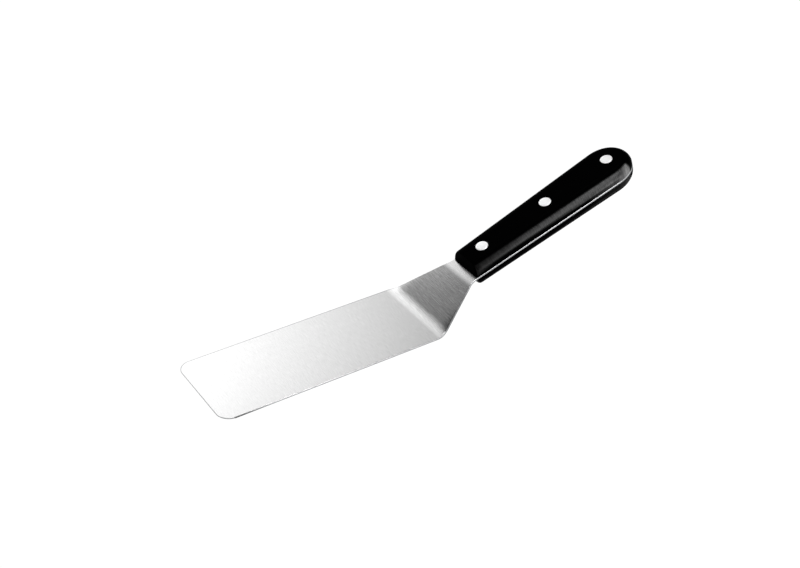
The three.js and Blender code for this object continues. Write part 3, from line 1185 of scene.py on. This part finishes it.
@dataclass(frozen=True)
class Softbox:
    """A rectangular soft lamp that faces a point, seen from there on a bearing. Metres and degrees.

    Its light fades towards its sides, each time over a share of the panel. Its right has the lower azimuth.
    """

    name: str
    azimuth: float
    elevation: float
    width: float
    height: float
    radiance: float
    fade_right: float = 0.05
    fade_left: float = 0.05
    fade_top: float = 0.05
    fade_foot: float = 0.05
    reach: float = 1.2
    aim: tuple[float, float, float] = (-0.03, 0.0, 0.02)

    def material(self) -> bpy.types.Material:
        """Makes the light: even over the panel's middle and clear at its very edges.

        Returns:
            The material.
        """
        material, bench = new_material(self.name)
        place = bench.surface_map()
        over, up = (bench.part(place, axis) for axis in "XY")
        right, foot = bench.ranged(over, (0.0, self.fade_right)), bench.ranged(up, (0.0, self.fade_foot))
        left = bench.ranged(over, (1 - self.fade_left, 1.0), FALLING)
        top = bench.ranged(up, (1 - self.fade_top, 1.0), FALLING)
        glow = bench.node("Emission", None, {"Strength": self.radiance})
        bench.finish(bench.mixed(right * left * foot * top, bench.node("BsdfTransparent"), glow))
        return material

    def build(self) -> None:
        """Hangs the panel square to its bearing, unseen by the camera."""
        towards = bearing(self.azimuth, self.elevation)
        over = bearing(self.azimuth + 90, 0) * (self.width / 2)
        up = towards.cross(over).normalized() * (self.height / 2)
        centre = Vector(self.aim) + towards * self.reach
        foot, top = centre - up, centre + up
        panel = staged_panel(self.name, (foot - over, foot + over, top + over, top - over), self.material())
        panel.visible_camera = False
        log.info("%s: radiance %.2f", self.name, self.radiance)


@dataclass(frozen=True)
class StudioCamera:
    """The photograph's camera. Metres and degrees, with the lens and its sensor in millimetres."""

    eye: tuple[float, float, float] = (-0.362876, -0.505113, 0.449986)
    azimuth: float = -34.333
    elevation: float = 34.844
    roll: float = 1.602
    lens: float = 60.79
    sensor: float = 36.0
    shift: Pair = (-0.000625, 0.000625)

    def build(self) -> None:
        """Makes the camera: level axes at its azimuth and elevation, rolled about the line of sight."""
        back = bearing(self.azimuth - 90, self.elevation)
        level = bearing(self.azimuth, 0)
        tilt = math.radians(self.roll)
        right = level * math.cos(tilt) + back.cross(level) * math.sin(tilt)
        data = bpy.data.cameras.new("studio_camera")
        data.sensor_width = self.sensor
        data.lens = self.lens
        data.shift_x, data.shift_y = self.shift
        camera = bpy.data.objects.new("studio_camera", data)
        axes = Matrix((right, back.cross(right), back)).transposed()
        camera.matrix_world = Matrix.Translation(self.eye) @ axes.to_4x4()
        bpy.context.scene.collection.objects.link(camera)
        bpy.context.scene.camera = camera


@dataclass(frozen=True)
class Studio:
    """Plain pale floor, soft lamps and a pale horizon under a darker ceiling. Metres and degrees.

    The ceiling is dimmest behind the lamps at the back, over three ranges of the direction's own parts.
    """

    floor_half: float = 6.0
    floor_drop: float = 0.0002
    floor_colour: Colour = (0.86, 0.86, 0.86, 1.0)
    floor_glow: float = 1.13
    floor_glow_share: float = 0.85
    horizon: float = 1.0
    ceiling: float = 0.002
    fill: float = 0.35
    horizon_top: float = 5.0
    ceiling_foot: float = 17.0
    dim_depth: Pair = (-0.3, 0.0)
    dim_side: Pair = (-0.75, -0.4)
    dim_top: Pair = (0.93, 0.985)
    lamps: tuple[Softbox, ...] = (
        Softbox(
            "back_softbox", azimuth=74.65, elevation=32.07, width=1.786, height=1.179, radiance=2.327,
            fade_right=0.784, fade_left=0.514, fade_top=0.408, fade_foot=0.264,
        ),
        Softbox(
            "top_softbox", azimuth=56.59, elevation=68.65, width=0.529, height=0.38, radiance=4.02,
            fade_right=0.092, fade_left=0.092, fade_top=0.092, fade_foot=0.092,
        ),
        Softbox(
            "front_softbox", azimuth=-73.5, elevation=27.0, width=0.30, height=1.10, radiance=4.5,
            fade_left=0.4, reach=1.0, aim=(0.08, -0.01, 0.045),
        ),
        Softbox(
            "side_softbox", azimuth=-44.0, elevation=24.0, width=0.84, height=0.90, radiance=1.05,
            fade_right=0.2, reach=1.0, aim=(0.13, 0.0, 0.06),
        ),
    )

    def floor(self) -> None:
        """Lays the floor, which keeps its shadow under an even white that camera and mirror rays see."""
        material, bench = new_material("pale_floor")
        kinds = ("Is Camera Ray", "Is Glossy Ray", "Is Transmission Ray")
        camera, mirror, through = (bench.node("LightPath", None, None, kind) for kind in kinds)
        seen = bench.math("MAXIMUM", bench.math("MAXIMUM", camera, mirror), through)
        matt = bench.node("BsdfDiffuse", None, {"Color": self.floor_colour})
        white = bench.node("Emission", None, {"Strength": self.floor_glow})
        bench.finish(bench.mixed(seen * self.floor_glow_share, matt, white))
        half, low = self.floor_half, cad_box[0].z - self.floor_drop
        corners = ((-half, -half, low), (half, -half, low), (half, half, low), (-half, half, low))
        staged_panel("floor", corners, material)

    def world(self) -> None:
        """Lights the room: white at the horizon, grey above it, and nearly dark behind the back lamps."""
        world = bpy.data.worlds.new("studio")
        world.use_nodes = True
        world.node_tree.nodes.clear()
        bench = Bench(world.node_tree)
        direction = bench.node("TexCoord", None, None, "Generated")
        side, depth, height = (bench.part(direction, axis) for axis in "XYZ")
        levels = (self.horizon, self.fill, self.ceiling)
        pale, fill, dim = (
            bench.node("Background", None, {"Color": WHITE, "Strength": level}) for level in levels
        )
        behind = bench.ranged(depth, self.dim_depth) * bench.ranged(side, self.dim_side)
        behind = behind * bench.ranged(height, self.dim_top, FALLING)
        rise = tuple(math.sin(math.radians(angle)) for angle in (self.horizon_top, self.ceiling_foot))
        room = bench.mixed(bench.ranged(height, rise), pale, bench.mixed(behind, fill, dim))
        bench.finish(room, "OutputWorld")
        bpy.context.scene.world = world

    def build(self) -> None:
        """Builds floor, world, lamps and camera and sets the plain view."""
        self.floor()
        self.world()
        for lamp in self.lamps:
            lamp.build()
        StudioCamera().build()
        bpy.context.scene.view_settings.view_transform = "Standard"


def main() -> None:
    """Sets the studio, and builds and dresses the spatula's pieces."""
    logging.basicConfig(level=logging.INFO, format="%(name)s: %(message)s")
    Studio().build()
    sheet = BentSheet()
    sheet.dress(BrushedSteel())
    scale = HandleScale(sheet)
    scale.dress(MouldedPlastic())
    HandleRivet(scale).dress(PolishedRivet())


if __name__ == "__main__":
    main()
